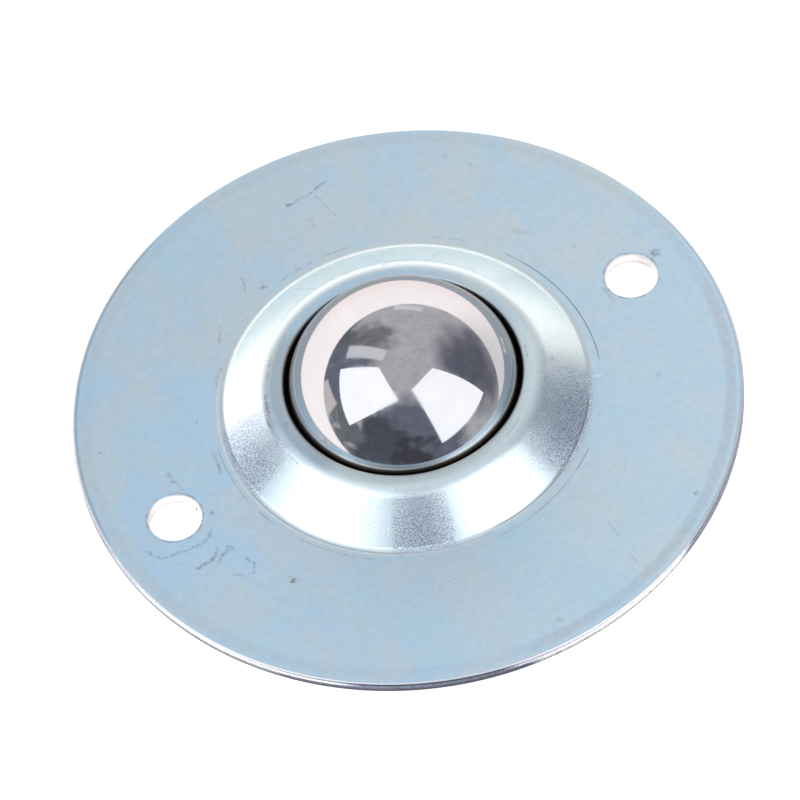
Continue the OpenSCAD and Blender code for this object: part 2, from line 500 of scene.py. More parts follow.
@dataclass(frozen=True)
class ZincPlate:
    """Bright zinc with a bluish passivation on the drawn top cover.

    Args:
        foot_r: Radius where the dome meets the flange.
        shoulder_r: Radius where the dome meets the ring round the lip.
        lip_r: Radius of the lip's edge.
        rim_r: Outer radius of the flange.
        top: Height of the flange's upper face.
        under: Height of its lower face.
        hole_r: Radius of a screw hole.
        hole_reach: Distance of each screw hole from the axis.
        name: The material's name.
        blue: Colour of the bluish plate.
        grey: Colour of the greyer blotches.
        green: Colour of the faint greenish tinge.
        dome_far_painted_light: Colour of the worked dome's far side, painted for how that side is lit.
        dome_near_painted_light: Colour of its near side, bluer and grainier, painted for how that side is
            lit.
        ring_near_painted_light: Painted light: a lighter colour on the near side of the ring round the lip.
        ring_left_painted_shade: Painted shade: a darker colour on its left side.
        dome_right_painted_shade: Painted shade: a greyer, darker colour on the dome's right slope.
        bends_painted_shade: Painted shade that dims the shoulder's and foot's highlights on the dome's far
            side.
        worn: Colour of the dull band inside the rim.
        pit_painted_reflection: Colour of the pits in the dome's grain, painted as the dark reflection of the
            room.
        burr: Colour of the thin burr along the lip.
        lip: Colour of the bare sheared lip round the ball, painted near black for the shade in the gap beside
            the ball.
        rim: Colour of the sheared outer edge's side, painted dark for shade.
        burnish_and_glint: Colour of the burnish on the outer edge's rolled top, and of the painted glints on
            its side.
        hole: Colour of the holes' walls.
        mark: Colour of the dark marks.
        scratch_and_highlight: Colour of the bright marks: nicks down to bare metal, and the painted highlight
            along the dome's foot.
        lean_x: How the plate's colour grows along X, per metre.
        lean_y: How it grows along Y, per metre.
        far: Direction of the dome's far side, in degrees from +X towards +Y.
        roughness: Roughness of the flat flange.
        dome_roughness: Roughness of the worked dome.
        blotch: Blotches per metre.
        grain: Surface grain per metre on the dome.
        grain_height: Height of that grain.
        lines: The press tool's lines, with the painted highlight along the dome's foot.
        marks: Handling marks.
        stippled_dark_reflection: Sectors in which the grain's pits carry that painted dark reflection.
        dulled: Sector in which the dome is rougher.
        ring_near_painted_light_span: Sector of the painted light on the ring round the lip.
        ring_left_painted_shade_span: Sector of the painted shade on its left side.
        dome_right_painted_shade_span: Sector of the painted shade on the dome's right slope.
        bends_painted_shade_span: Sector of the painted shade on the shoulder and foot.
        worn_span: Sector in which the dull band inside the rim is strongest.
        burr_span: Sector of the burr along the lip.
        edge_glint_full: Sector of a painted glint of a soft box over the outer edge's whole height.
        edge_glint_faint: Sector of a faint painted glint on it.
        edge_glint_upper: Sectors of painted glints on its upper part alone.
    """

    foot_r: float
    shoulder_r: float
    lip_r: float
    rim_r: float
    top: float
    under: float
    hole_r: float
    hole_reach: float
    name: str = "cover_zinc"
    blue: Colour = (0.65, 0.862, 0.995)
    grey: Colour = (0.73, 0.86, 0.905)
    green: Colour = (0.72, 0.893, 0.92)
    # Painted light: the dome's far and near sides get their own colours for how each side is lit
    dome_far_painted_light: Colour = (0.90, 0.99, 0.965)
    dome_near_painted_light: Colour = (0.85, 0.98, 1.0)
    # Painted light and shade by side: the ring round the lip, the dome's right slope, and its shoulder and
    # foot
    ring_near_painted_light: Colour = (0.85, 1.0, 1.0)
    ring_left_painted_shade: Colour = (0.57, 0.71, 0.79)
    dome_right_painted_shade: Colour = (0.66, 0.76, 0.76)
    bends_painted_shade: Colour = (0.66, 0.75, 0.76)
    worn: Colour = (0.56, 0.62, 0.66)
    # Painted reflection: the dark bluish colour of the grain's pits in three sectors of the dome
    pit_painted_reflection: Colour = (0.25, 0.32, 0.50)
    burr: Colour = (0.72, 0.62, 0.52)
    # Painted shade: the lip in the gap round the ball is near black
    lip: Colour = (0.13, 0.105, 0.08)
    # Painted shade on the outer edge's side, and painted glints of the soft boxes on it
    rim: Colour = (0.15, 0.18, 0.24)
    burnish_and_glint: Colour = (0.90, 0.95, 1.0)
    hole: Colour = (1.0, 0.965, 0.95)
    mark: Colour = (0.20, 0.205, 0.215)
    scratch_and_highlight: Colour = (0.93, 1.0, 1.0)
    lean_x: Triple = (2.2, 1.2, 0.4)
    lean_y: Triple = (-1.2, -1.4, -1.8)
    far: float = 67.5
    roughness: float = 0.58
    dome_roughness: float = 0.28
    blotch: float = 90.0
    grain: float = 7200.0
    grain_height: float = 14e-6
    lines: tuple[Arc, ...] = PRESS_LINES_AND_HIGHLIGHT
    marks: tuple[Stroke, ...] = HANDLING_MARKS
    stippled_dark_reflection: tuple[Sector, ...] = ((161, 187), (236, 256), (295, 335))
    dulled: Sector = (295, 335)
    ring_near_painted_light_span: Sector = (205, 355)
    ring_left_painted_shade_span: Sector = (125, 205)
    dome_right_painted_shade_span: Sector = (-26, 22)
    bends_painted_shade_span: Sector = (-10, 150)
    worn_span: Sector = (262, 350)
    burr_span: Sector = (120, 300)
    edge_glint_full: Sector = (262, 293)
    edge_glint_faint: Sector = (180, 218)
    edge_glint_upper: tuple[Sector, ...] = ((188, 230), (258, 294))

    def build(self) -> bpy.types.Material:
        """Makes the material.

        Returns:
            The zinc plate material.
        """
        s = Surface(self.name)
        g = s.graph
        # The dome with the ring on it, and its slope alone
        dome = g.ramp(s.radius, self.foot_r - 0.5 * MM, self.foot_r + 0.9 * MM, 1.0, 0.0)
        slope = g.product(dome, g.ramp(s.radius, self.shoulder_r - 0.9 * MM, self.shoulder_r + 0.3 * MM))
        colour = self.plate(s, g.product(slope, 0.88))
        colour = self.worn_band(s, colour)
        colour = self.painted_ring_and_bend_light(s, colour)
        colour = self.draw_marks(s, colour)
        colour = self.edges(s, colour)
        # Worked metal is smoother than the flat flange: most on the slope, and half as much on the ring
        dulled = g.math("SUBTRACT", slope, g.product(s.facing(self.dulled), 0.4))
        rolled = g.ramp(s.radius, self.rim_r - 0.3 * MM, self.rim_r - 0.2 * MM, 0.0, 0.6)
        worked = g.largest(dulled, rolled, g.product(dome, 0.5))
        rough = g.math("ADD", g.ramp(worked, 0.0, 1.0, self.roughness, self.dome_roughness),
                       g.ramp(g.noise(s.place, 700.0, 3.0), 0.3, 0.7, -0.012, 0.018))
        s.set(Base_Color=colour, Metallic=1.0, Roughness=rough, Normal=self.relief(s, dome))
        return s.material

    def plate(self, s: Surface, cone: Socket) -> Socket:
        """Clouds of blue, grey and green passivation, with painted light on the dome's two sides.

        Args:
            s: The surface being built.
            cone: The share of the dome's colours.

        Returns:
            The plate's colour.
        """
        g = s.graph
        # Blotches and rolling streaks on the flat flange
        cloud = g.noise(s.place, self.blotch, 3.0, 0.55, 0.6)
        streak = g.noise(g.stretch(s.place, (3.0, 0.8, 1.0), 0.35), 160.0, 2.0, 0.6)
        share = g.ramp(g.math("ADD", g.product(cloud, 0.7), g.product(streak, 0.3)), 0.36, 0.62)
        colour = g.mix(share, self.grey, self.blue)
        tinge = g.ramp(g.noise(g.stretch(s.place, (1.0, 1.0, 1.0), 1.1), 55.0, 2.0), 0.5, 0.72, 0.0, 0.35)
        colour = g.mix(tinge, colour, self.green)
        # The dome's two sides in painted light, with pits of painted dark reflection where its grain stands
        # out
        away = (math.cos(math.radians(self.far)), math.sin(math.radians(self.far)), 0.0)
        near = g.ramp(g.measure("DOT_PRODUCT", g.vector("NORMALIZE", s.place), away), -0.35, 0.35, 1.0, 0.0)
        # Painted reflection: dark pits in the grain, only in the sectors where the dome mirrors dark parts of
        # the room
        stippled_dark_reflection = g.largest(*(s.facing(sector) for sector in self.stippled_dark_reflection))
        reflection_pits = g.ramp(g.noise(s.place, self.grain, 1.5, 0.6), 0.4, 0.56, 0.85, 0.0)
        reflection_pits = g.product(reflection_pits, g.ramp(s.radius, self.shoulder_r, self.foot_r - 1.6 * MM, 0.35, 1.0))
        # Painted light: one colour for the dome's far side and one for its near side
        worked = g.mix(near, self.dome_far_painted_light, self.dome_near_painted_light)
        worked = g.mix(g.product(stippled_dark_reflection, reflection_pits), worked, self.pit_painted_reflection)
        colour = g.mix(cone, colour, worked)
        # A slow drift of colour over the whole plate, and a fine speckle
        tilt = g.vector("ADD", g.scaled(self.lean_x, s.x), g.scaled(self.lean_y, s.y))
        colour = g.mix(1.0, colour, g.vector("ADD", tilt, (1.0, 1.0, 1.0)), "MULTIPLY")
        return g.shade(colour, g.ramp(g.noise(s.place, 1500.0, 3.0, 0.65), 0.2, 0.8, 0.965, 1.035))

    def worn_band(self, s: Surface, colour: Socket) -> Socket:
        """The dull band just inside the rim, which is stronger on the near side.

        Args:
            s: The surface being built.
            colour: The colour so far.

        Returns:
            The colour with the band.
        """
        g = s.graph
        worn = g.ramp(g.noise(s.place, 1600.0, 3.0, 0.7), 0.35, 0.65, 0.22, 0.42)
        band = g.band(s.radius, self.rim_r - 1.3 * MM, 0.3 * MM, 0.5 * MM)
        share = g.product(worn, g.math("ADD", 0.45, g.product(s.facing(self.worn_span), 0.55)))
        return g.mix(g.product(band, share), colour, self.worn)

    def painted_ring_and_bend_light(self, s: Surface, colour: Socket) -> Socket:
        """Painted light and shade on the ring round the lip, the dome's right slope, and its shoulder and
        foot.

        Args:
            s: The surface being built.
            colour: The colour so far.

        Returns:
            The colour with that painted light and shade.
        """
        g = s.graph
        ring = g.ramp(s.radius, self.shoulder_r - 0.7 * MM, self.shoulder_r + 0.1 * MM, 1.0, 0.0)
        # Painted light on the near side of the ring, painted shade on its left side
        colour = g.mix(g.product(ring, s.facing(self.ring_near_painted_light_span)), colour, self.ring_near_painted_light)
        colour = g.mix(g.product(ring, s.facing(self.ring_left_painted_shade_span)), colour, self.ring_left_painted_shade)
        # Painted shade on the dome's right slope
        right = g.product(g.ramp(s.radius, self.shoulder_r, self.shoulder_r + 0.8 * MM, 0.0, 0.6),
                          g.band(s.radius, 0.0, self.foot_r, 0.4 * MM), s.facing(self.dome_right_painted_shade_span))
        colour = g.mix(right, colour, self.dome_right_painted_shade)
        # Painted shade: the shoulder and foot are dimmed on the dome's far side, where their highlights are
        # brightest
        shoulder = g.band(s.radius, self.shoulder_r + 0.1 * MM, 0.4 * MM, 0.6 * MM)
        foot = g.product(g.band(s.radius, self.foot_r + 0.1 * MM, 0.2 * MM, 0.3 * MM), 0.8)
        band = g.product(g.largest(shoulder, foot), s.facing(self.bends_painted_shade_span))
        return g.mix(band, colour, self.bends_painted_shade)

    def stroke(self, s: Surface, place: Socket, mark: Stroke) -> Socket:
        """One handling mark, by the distance from its straight line.

        Args:
            s: The surface being built.
            place: Coordinates in the plate's plane.
            mark: The mark.

        Returns:
            Its mask.
        """
        g = s.graph
        start = Vector((*mark.start, 0.0)) * MM
        along = Vector((*mark.end, 0.0)) * MM - start
        rest = g.vector("SUBTRACT", place, start)
        share = g.measure("DOT_PRODUCT", rest, along / along.length_squared)
        share = g.math("MINIMUM", g.largest(share, 0.0), 1.0)
        gap = g.measure("DISTANCE", rest, g.scaled(along, share))
        return g.ramp(gap, 0.1 * mark.width * MM, 1.6 * mark.width * MM, mark.depth, 0.0)

    def arc_mark(self, s: Surface, arc: Arc) -> Socket:
        """One arc: a line of the press tool with the gaps that wear has left in it, or the painted highlight
        along the dome's foot.

        Args:
            s: The surface being built.
            arc: The line.

        Returns:
            Its mask.
        """
        g = s.graph
        there = s.facing((arc.start, arc.end))
        line = g.band(s.radius, arc.radius * MM, 0.4 * arc.width * MM, 1.2 * arc.width * MM)
        broken = 0.62 - 0.4 * arc.whole
        whole = g.ramp(g.noise(s.place, 520.0, 2.0, 0.7), broken, broken + 0.1, 0.0, arc.depth)
        return g.product(line, there, whole)

    def draw_marks(self, s: Surface, colour: Socket) -> Socket:
        """Lays the handling marks, the press lines and the painted highlight along the dome's foot over the
        colour.

        Args:
            s: The surface being built.
            colour: The colour so far.

        Returns:
            The marked colour.
        """
        g = s.graph
        flat = g.vector("MULTIPLY", g.stirred(s.place, 1600.0, 0.6 * MM), (1.0, 1.0, 0.0))
        totals: dict[MarkTone, Number] = {MarkTone.DARK: 0.0, MarkTone.BRIGHT: 0.0}
        for mark in self.marks:
            totals[mark.tone] = g.largest(totals[mark.tone], self.stroke(s, flat, mark))
        speck = g.ramp(g.noise(s.place, 2600.0, 2.0), 0.38, 0.64, 0.22, 1.0)
        totals[MarkTone.DARK] = g.product(totals[MarkTone.DARK], speck)
        for arc in self.lines:
            totals[arc.tone] = g.largest(totals[arc.tone], self.arc_mark(s, arc))
        colour = g.mix(totals[MarkTone.DARK], colour, self.mark)
        # Bright marks: nicks down to bare metal, and the painted highlight along the dome's foot
        return g.mix(totals[MarkTone.BRIGHT], colour, self.scratch_and_highlight)

    def edges(self, s: Surface, colour: Socket) -> Socket:
        """Colours the sheared lip round the ball, the sheared outer edge and the holes' walls.

        Args:
            s: The surface being built.
            colour: The colour so far.

        Returns:
            The colour with the sheared faces, the painted shade on the lip and the outer edge, and that
            edge's painted glints.
        """
        g = s.graph
        # The sheared lip, painted near black for the shade in the gap round the ball, with a thin burr along
        # it
        lip = g.ramp(s.radius, self.lip_r + 0.03 * MM, self.lip_r + 0.25 * MM, 1.0, 0.0)
        burr = g.product(g.band(s.radius, self.lip_r + 0.3 * MM, 0.04 * MM, 0.08 * MM),
                         s.facing(self.burr_span), 0.55)
        colour = g.mix(burr, colour, self.burr)
        colour = g.mix(lip, colour, self.lip)
        # The holes: bright walls over the seam between the sheets, and a broken dark ring round each
        centre = s.from_hole(self.hole_reach)
        wall = g.ramp(centre, self.hole_r + 0.02 * MM, self.hole_r + 0.12 * MM, 1.0, 0.0)
        seam = g.ramp(s.z, self.under + 0.03 * MM, self.under + 0.15 * MM, 0.6, 1.0)
        ring = g.product(g.band(centre, self.hole_r + 0.2 * MM, 0.06 * MM, 0.12 * MM),
                         g.ramp(g.noise(s.place, 900.0, 2.0), 0.4, 0.62, 0.05, 0.38))
        colour = g.mix(ring, colour, self.mark)
        colour = g.mix(wall, colour, g.mix(seam, self.mark, self.hole))
        # The outer edge: a burnish on its rolled top, and a side painted dark for shade, with painted glints
        rolled = g.ramp(s.radius, self.rim_r - 0.3 * MM, self.rim_r - 0.18 * MM)
        colour = g.mix(rolled, colour, self.burnish_and_glint)
        side = g.ramp(s.radius, self.rim_r - 0.09 * MM, self.rim_r - 0.02 * MM)
        grain = g.noise(g.stretch(s.place, (1.0, 1.0, 0.4)), 4200.0, 2.0, 0.7)
        # Painted shade: the side darkens towards the bottom, under a coarse grain
        torn_grain_and_low_shade = g.product(g.ramp(grain, 0.3, 0.7, 0.7, 1.25),
                         g.ramp(s.z, self.under + 0.2 * MM, self.under + 0.75 * MM, 0.4, 1.25))
        # Painted highlights: glints of the soft boxes on the side, in fixed sectors
        upper = g.ramp(s.z, self.top - 0.6 * MM, self.top - 0.35 * MM)
        bright = g.product(g.largest(*(s.facing(sector) for sector in self.edge_glint_upper)), upper)
        glint = g.largest(s.facing(self.edge_glint_full), g.product(s.facing(self.edge_glint_faint), 0.3), bright)
        return g.mix(side, colour, g.shade(g.mix(glint, self.rim, self.burnish_and_glint), torn_grain_and_low_shade))

    def relief(self, s: Surface, dome: Socket) -> Socket:
        """Grain on the dome and a soft waviness on the flat sheet.

        Args:
            s: The surface being built.
            dome: 1 on the dome and 0 on the flange.

        Returns:
            The surface normal.
        """
        g = s.graph
        wave = g.bump(g.noise(s.place, 220.0, 2.0), 2e-6)
        grain = g.noise(s.place, self.grain, 1.5, 0.6)
        height = g.product(grain, g.math("ADD", 0.15, g.product(dome, 0.85)))
        return g.bump(height, self.grain_height, wave)


@dataclass(frozen=True)
class HousingZinc:
    """Duller zinc on the drawn lower housing, with faint draw lines down its wall.

    Args:
        hole_r: Radius of a screw hole.
        hole_reach: Distance of each screw hole from the axis.
        name: The material's name.
        plate: Colour of the plate.
        worn: Colour where the draw die has rubbed it.
        wall: Colour of the holes' walls.
        roughness: Mean roughness.
    """

    hole_r: float
    hole_reach: float
    name: str = "housing_zinc"
    plate: Colour = (0.47, 0.53, 0.59)
    worn: Colour = (0.40, 0.43, 0.46)
    wall: Colour = (1.0, 0.97, 0.96)
    roughness: float = 0.4

    def build(self) -> bpy.types.Material:
        """Makes the material.

        Returns:
            The housing's material.
        """
        s = Surface(self.name)
        g = s.graph
        cloud = g.ramp(g.noise(s.place, 110.0, 3.0, 0.6, 0.5), 0.35, 0.65)
        lines = g.noise(g.stretch(s.place, (1.0, 1.0, 0.06)), 1400.0, 3.0, 0.6)
        colour = g.shade(g.mix(cloud, self.worn, self.plate), g.ramp(lines, 0.3, 0.7, 0.9, 1.04))
        wall = g.ramp(s.from_hole(self.hole_reach), self.hole_r + 0.02 * MM, self.hole_r + 0.1 * MM, 1.0, 0.0)
        colour = g.mix(wall, colour, self.wall)
        rough = g.math("ADD", self.roughness, g.ramp(lines, 0.3, 0.7, -0.06, 0.08))
        s.set(Base_Color=colour, Metallic=1.0, Roughness=rough, Normal=g.bump(lines, 4e-6))
        return s.material


@dataclass(frozen=True)
class PolishedSteel:
    """Lapped ball steel with a faint haze and hairline wear.

    Args:
        name: The material's name.
        steel: Colour of the steel.
        haze: Colour where it is hazed by handling.
        edge: Tint of what it mirrors at a grazing angle.
        roughness: Roughness where it is clean.
        hazed: Roughness where it is hazed.
        cloud: Haze clouds per metre.
    """

    name: str
    steel: Colour = (0.59, 0.59, 0.60)
    haze: Colour = (0.63, 0.63, 0.65)
    edge: Colour = (0.80, 0.70, 0.67)
    roughness: float = 0.045
    hazed: float = 0.12
    cloud: float = 160.0

    def build(self) -> bpy.types.Material:
        """Makes the material.

        Returns:
            The polished steel.
        """
        s = Surface(self.name)
        g = s.graph
        cloud = g.ramp(g.noise(s.place, self.cloud, 4.0, 0.6, 0.4), 0.45, 0.75)
        fine = g.ramp(g.noise(s.place, self.cloud * 12, 2.0), 0.5, 0.8, 0.0, 0.5)
        share = g.largest(cloud, fine)
        s.set(Base_Color=g.mix(share, self.steel, self.haze), Specular_Tint=self.edge, Metallic=1.0,
              Roughness=g.ramp(share, 0.0, 1.0, self.roughness, self.hazed))
        return s.material


@dataclass(frozen=True)
class OiledSteel:
    """Hardened or stamped steel with a thin uneven film of oil.

    Args:
        name: The material's name.
        bare: Colour of the steel.
        stained: Colour under the thicker oil.
        roughness: Roughness of the dry steel.
        oiled: Roughness under the oil.
        scale: Stains per metre.
    """

    name: str
    bare: Colour
    stained: Colour
    roughness: float = 0.38
    oiled: float = 0.2
    scale: float = 200.0

    def build(self) -> bpy.types.Material:
        """Makes the material.

        Returns:
            The oiled steel.
        """
        s = Surface(self.name)
        g = s.graph
        film = g.ramp(g.noise(s.place, self.scale, 4.0, 0.6, 0.8), 0.4, 0.65)
        turned = g.noise(g.stretch(s.place, (1.0, 1.0, 6.0)), 900.0, 2.0)
        colour = g.shade(g.mix(film, self.bare, self.stained), g.ramp(turned, 0.3, 0.7, 0.93, 1.05))
        s.set(Base_Color=colour, Metallic=1.0, Roughness=g.ramp(film, 0.0, 1.0, self.roughness, self.oiled),
              Normal=g.bump(turned, 3e-6))
        return s.material


@dataclass(frozen=True)
class OiledFelt:
    """Dense black felt, matted by oil.

    Args:
        name: The material's name.
        dark: Colour between the fibres.
        light: Colour of the raised fibres.
        fibres: Fibres per metre.
    """

    name: str = "wiper_felt"
    dark: Colour = (0.006, 0.006, 0.007)
    light: Colour = (0.022, 0.021, 0.022)
    fibres: float = 5200.0

    def build(self) -> bpy.types.Material:
        """Makes the material.

        Returns:
            The felt.
        """
        s = Surface(self.name)
        g = s.graph
        mat = g.noise(s.place, self.fibres, 4.0, 0.7, 1.6)
        clump = g.noise(s.place, self.fibres / 8, 2.0)
        share = g.ramp(g.product(mat, g.math("ADD", 0.5, clump)), 0.3, 0.75)
        s.set(Base_Color=g.mix(share, self.dark, self.light), Roughness=0.85, Specular_IOR_Level=0.2,
              Normal=g.bump(mat, 6e-5))
        return s.material


# ---------------------------------------------------------------------------------------------------
# Mesh helpers
# ---------------------------------------------------------------------------------------------------


@dataclass(frozen=True)
class Corner:
    """One corner of a turned outline.

    Args:
        radius: Distance from the axis.
        height: Height above the mounting face.
        rounding: Radius of the corner, or 0 where it is sharp.
        steps: Segments of a rounded corner.
    """

    radius: float
    height: float
    rounding: float = 0.0
    steps: int = 8

    @property
    def point(self) -> Vector:
        """The corner as a point in the XZ plane."""
        return Vector((self.radius, 0.0, self.height))


@dataclass(frozen=True)
class Turning:
    """A solid of revolution round the Z axis, spun from a closed outline.

    Args:
        name: The piece's name.
        corners: The outline, which may touch the axis.
        steps: Segments round the axis.
    """

    name: str
    corners: tuple[Corner, ...]
    steps: int = 288

    def outline(self, mesh: bmesh.types.BMesh) -> None:
        """Draws the outline as a face, rounds its corners and leaves only its edges.

        Args:
            mesh: The mesh to draw in.
        """
        verts = [mesh.verts.new(corner.point) for corner in self.corners]
        mesh.faces.new(verts)
        count = len(verts)
        for index, corner in enumerate(self.corners):
            if corner.rounding == 0:
                continue
            before = (self.corners[index - 1].point - corner.point).normalized()
            after = (self.corners[(index + 1) % count].point - corner.point).normalized()
            setback = corner.rounding / math.tan(before.angle(after) / 2)
            bmesh.ops.bevel(mesh, geom=[verts[index]], offset=setback, offset_type="OFFSET",
                            affect="VERTICES", segments=corner.steps, profile=0.5, material=-1,
                            clamp_overlap=False)
        bmesh.ops.delete(mesh, geom=list(mesh.faces), context="FACES_ONLY")

    def spun(self) -> bmesh.types.BMesh:
        """Spins the outline into a closed mesh.

        Returns:
            The mesh, which the caller frees.
        """
        mesh = bmesh.new()
        self.outline(mesh)
        axis_edges = [e for e in mesh.edges if all(abs(v.co.x) < 1e-9 for v in e.verts)]
        bmesh.ops.delete(mesh, geom=axis_edges, context="EDGES")
        bmesh.ops.spin(mesh, geom=[*mesh.verts, *mesh.edges], cent=(0, 0, 0), axis=(0, 0, 1),
                       dvec=(0, 0, 0), angle=2 * math.pi, steps=self.steps, use_merge=True,
                       use_duplicate=False)
        bmesh.ops.remove_doubles(mesh, verts=list(mesh.verts), dist=MERGE)
        bmesh.ops.recalc_face_normals(mesh, faces=list(mesh.faces))
        return mesh


def make_object(name: str, mesh: bmesh.types.BMesh) -> bpy.types.Object:
    """Turns a bmesh into an object in the scene and frees the bmesh.

    Args:
        name: The object's name.
        mesh: The mesh.

    Returns:
        The object, at the origin.
    """
    data = bpy.data.meshes.new(name)
    mesh.to_mesh(data)
    mesh.free()
    made = bpy.data.objects.new(name, data)
    bpy.context.scene.collection.objects.link(made)
    return made


def smooth(piece: bpy.types.Object, angle: float = 32.0) -> None:
    """Shades a piece smooth, with sharp edges where it folds and flats that stay flat.

    Args:
        piece: The piece.
        angle: Folds sharper than this many degrees stay sharp.
    """
    piece.data.shade_smooth()
    piece.data.set_sharp_from_angle(angle=math.radians(angle))
    weighted = piece.modifiers.new("Flat faces lead", "WEIGHTED_NORMAL")
    weighted.mode = "FACE_AREA"
    weighted.weight = 100
    weighted.keep_sharp = True


def dress(piece: bpy.types.Object, material: bpy.types.Material, body: str,
          node: str) -> bpy.types.Object:
    """Gives a finished piece its material and its body, and hides what it stands for.

    Args:
        piece: The piece.
        material: Its finish.
        body: The body it moves with.
        node: The frame's node that it stands for.

    Returns:
        The piece.
    """
    piece.data.materials.append(material)
    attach(piece, body)
    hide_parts(node)
    LOG.info("%s: %d faces, on body %s", piece.name, len(piece.data.polygons), body)
    return piece


def mount_sizes(record: dict, kind: str) -> dict[str, float]:
    """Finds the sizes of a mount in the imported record.

    Args:
        record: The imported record.
        kind: The mount's kind.

    Returns:
        Its sizes by name, in millimetres.
    """
    return next(mount["dims"] for mount in record["mounts"] if mount["kind"] == kind)


@dataclass(frozen=True)
class ScrewHoles:
    """The screw holes on the X axis.

    Args:
        radius: Radius of a hole.
        reach: Distance of each hole from the axis.
        edge: Rolled edge where the punch went in.
        steps: Segments round a hole.
    """

    radius: float
    reach: float
    edge: float = 0.15 * MM
    steps: int = 96

    @classmethod
    def from_record(cls, record: dict) -> "ScrewHoles":
        """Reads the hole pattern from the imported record's mounts.

        Args:
            record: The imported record.

        Returns:
            The hole pattern.
        """
        sizes = mount_sizes(record, "bolt_pattern")
        return cls(radius=sizes["hole_r_mm"] * MM, reach=sizes["spacing_x_mm"] / 2 * MM)

    def punch(self, piece: bpy.types.Object, low: float, high: float) -> None:
        """Cuts the holes through a sheet and rolls their upper edge.

        Args:
            piece: The piece to cut.
            low: Height of the sheet's lower face.
            high: Height of its upper face.
        """
        for side in (-1, 1):
            punch = bmesh.new()
            at = Matrix.Translation((side * self.reach, 0.0, (low + high) / 2))
            bmesh.ops.create_cone(punch, cap_ends=True, segments=self.steps, radius1=self.radius,
                                  radius2=self.radius, depth=3 * (high - low), matrix=at)
            tool = make_object("punch", punch)
            cut = piece.modifiers.new("Hole", "BOOLEAN")
            cut.operation = "DIFFERENCE"
            cut.solver = "EXACT"
            cut.object = tool
            bpy.context.view_layer.update()
            shape = piece.evaluated_get(bpy.context.evaluated_depsgraph_get())
            piece.data = bpy.data.meshes.new_from_object(shape)
            piece.modifiers.remove(cut)
            bpy.data.objects.remove(tool)
        self.roll_edges(piece, high)

    def roll_edges(self, piece: bpy.types.Object, high: float) -> None:
        """Rounds the holes' upper edges.

        Args:
            piece: The cut piece.
            high: Height of the upper face.
        """
        mesh = bmesh.new()
        mesh.from_mesh(piece.data)
        for side in (-1, 1):
            centre = Vector((side * self.reach, 0.0, high))
            ring = [e for e in mesh.edges
                    if all(abs((v.co - centre).length - self.radius) < TOUCH and abs(v.co.z - high) < TOUCH
                           for v in e.verts)]
            bmesh.ops.bevel(mesh, geom=ring, offset=self.edge, offset_type="OFFSET", affect="EDGES",
                            segments=4, profile=0.5, material=-1)
        mesh.to_mesh(piece.data)
        mesh.free()


# ---------------------------------------------------------------------------------------------------
# Pieces
# ---------------------------------------------------------------------------------------------------


def cup_radius() -> float:
    """Outer radius of the lower housing's cup, which the record gives as a pin."""
    return mount_sizes(frame["record"], "pin")["r_mm"] * MM


